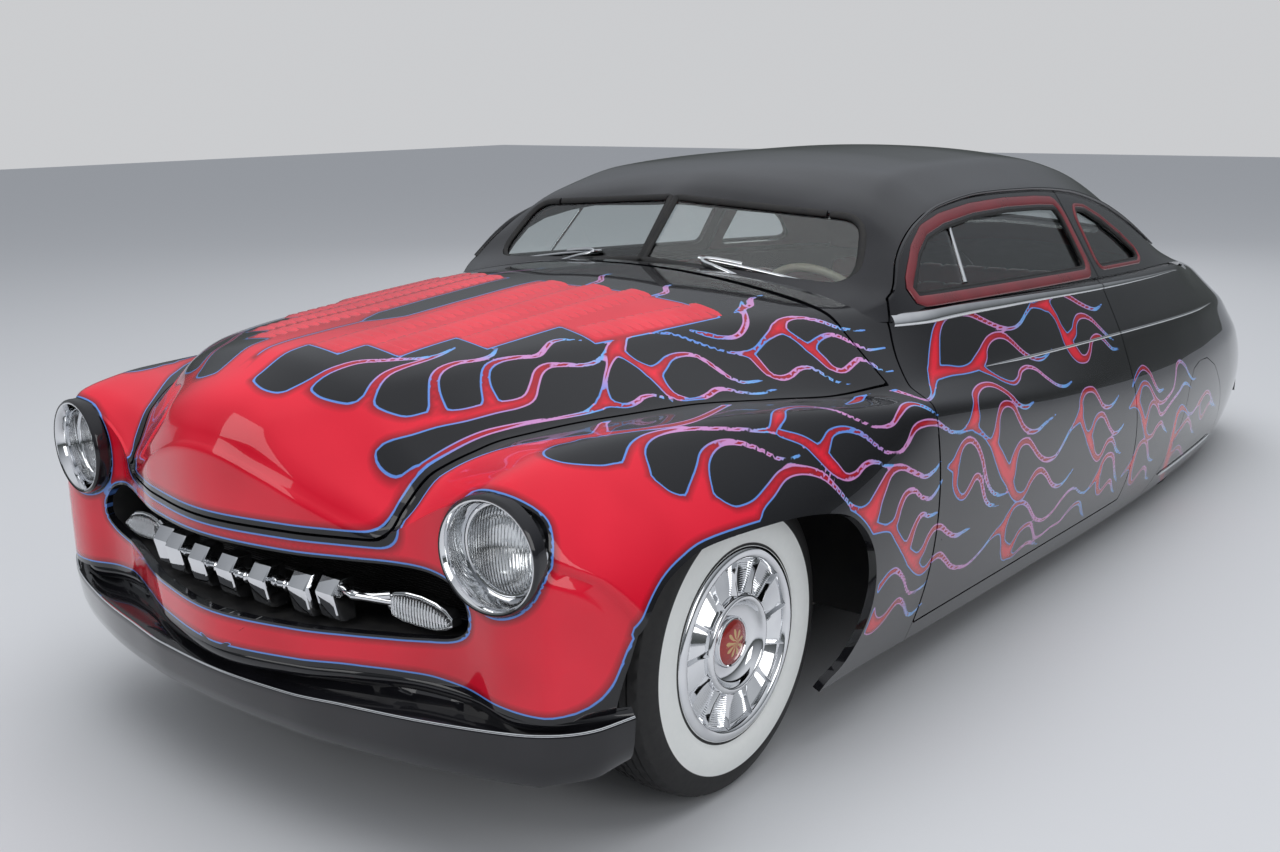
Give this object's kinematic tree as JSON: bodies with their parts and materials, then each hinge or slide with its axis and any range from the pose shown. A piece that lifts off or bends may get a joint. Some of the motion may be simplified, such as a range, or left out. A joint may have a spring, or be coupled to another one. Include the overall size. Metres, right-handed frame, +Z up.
{
  "type": "chopped custom hot rod coupe",
  "caption": "Low, chopped two-door custom coupe with toothed grille, full fenders and rear skirts; wheels roll, front wheels steer, doors, hood and trunk lid open.",
  "frame": {"origin": "on the ground, at the middle of the car's length and width", "axes": "+Z up, the car faces -Y, +X is the car's left side"},
  "size_m": [1.9302, 4.99, 1.3349],
  "materials": {
    "body_paint": "gloss black lacquer with flames",
    "black_paint": "gloss black lacquer",
    "chrome": "polished plating",
    "clear_glass": "lightly tinted",
    "red_lens": "moulded red lens",
    "chassis_paint": "satin black",
    "cast_iron": "painted casting",
    "exhaust_steel": "dull tube",
    "tyre_rubber": "wide whitewall",
    "dash_paint": "gloss maroon",
    "wheel_plastic": "moulded rim",
    "seat_vinyl": "rolled and pleated maroon vinyl"
  },
  "bodies": {
    "root": {"front_clip": "body_paint", "front_bumper": "black_paint", "front_pan": "black_paint", "rear_bumper": "chrome", "firewall": "black_paint", "cowl_top": "body_paint", "roof": "body_paint", "windshield": "clear_glass", "quarter_glass": "clear_glass", "rear_glass": "clear_glass", "quarter_left": "body_paint", "quarter_right": "body_paint", "skirt_left": "body_paint", "skirt_right": "body_paint", "tail_panel": "body_paint", "deck_panel": "body_paint", "floor_pan": "chassis_paint", "rear_floor": "chassis_paint", "frame_rails": "chassis_paint", "front_arms": "chassis_paint", "rear_axle": "chassis_paint", "driveshaft": "chassis_paint", "engine_block": "cast_iron", "exhaust": "exhaust_steel", "fuel_tank": "chassis_paint", "grille_bar": "chrome", "radiator_panel": "chassis_paint", "headlight_rims": "chrome", "front_lenses": "clear_glass", "tail_lamps": "red_lens", "wipers": "chrome", "dashboard": "dash_paint", "steering_wheel": "wheel_plastic", "front_bench": "seat_vinyl", "rear_bench": "seat_vinyl"},
    "hood": {"hood": "body_paint"},
    "trunk_lid": {"trunk_lid": "body_paint"},
    "door_left": {"door_left": "body_paint", "door_glass_left": "clear_glass"},
    "door_right": {"door_right": "body_paint", "door_glass_right": "clear_glass"},
    "knuckle_left": {"knuckle_left": "chassis_paint"},
    "knuckle_right": {"knuckle_right": "chassis_paint"},
    "wheel_fl": {"tyre_fl": "tyre_rubber", "wheel_fl": "chrome"},
    "wheel_fr": {"tyre_fr": "tyre_rubber", "wheel_fr": "chrome"},
    "wheel_rl": {"tyre_rl": "tyre_rubber", "wheel_rl": "chrome"},
    "wheel_rr": {"tyre_rr": "tyre_rubber", "wheel_rr": "chrome"}
  },
  "joints": [
    {"name": "hood_hinge", "type": "hinge", "parent": "root", "child": "hood", "pos_m": [0, -1, 0.905], "axis": [-1, 0, 0], "range_deg": [0, 36]},
    {"name": "trunk_lid_hinge", "type": "hinge", "parent": "root", "child": "trunk_lid", "pos_m": [0, 1.722, 0.915], "axis": [1, 0, 0], "range_deg": [0, 60]},
    {"name": "door_left_hinge", "type": "hinge", "parent": "root", "child": "door_left", "pos_m": [0.946, -1.015, 0.5], "axis": [0, 0, -1], "range_deg": [0, 62]},
    {"name": "door_right_hinge", "type": "hinge", "parent": "root", "child": "door_right", "pos_m": [-0.946, -1.015, 0.5], "axis": [0, 0, 1], "range_deg": [0, 62]},
    {"name": "steer_left", "type": "hinge", "parent": "root", "child": "knuckle_left", "pos_m": [0.662, -1.755, 0.35], "axis": [0, 0, 1], "range_deg": [-24, 24]},
    {"name": "steer_right", "type": "hinge", "parent": "root", "child": "knuckle_right", "pos_m": [-0.662, -1.755, 0.35], "axis": [0, 0, 1], "range_deg": [-24, 24]},
    {"name": "wheel_fl_spin", "type": "hinge", "parent": "knuckle_left", "child": "wheel_fl", "pos_m": [0.743, -1.755, 0.35], "axis": [1, 0, 0], "continuous": true},
    {"name": "wheel_fr_spin", "type": "hinge", "parent": "knuckle_right", "child": "wheel_fr", "pos_m": [-0.743, -1.755, 0.35], "axis": [1, 0, 0], "continuous": true},
    {"name": "wheel_rl_spin", "type": "hinge", "parent": "root", "child": "wheel_rl", "pos_m": [0.743, 1.242, 0.35], "axis": [1, 0, 0], "continuous": true},
    {"name": "wheel_rr_spin", "type": "hinge", "parent": "root", "child": "wheel_rr", "pos_m": [-0.743, 1.242, 0.35], "axis": [1, 0, 0], "continuous": true}
  ],
  "couplings": [
    {"joint": "steer_right", "follows": "steer_left", "ratio": 1}
  ]
}
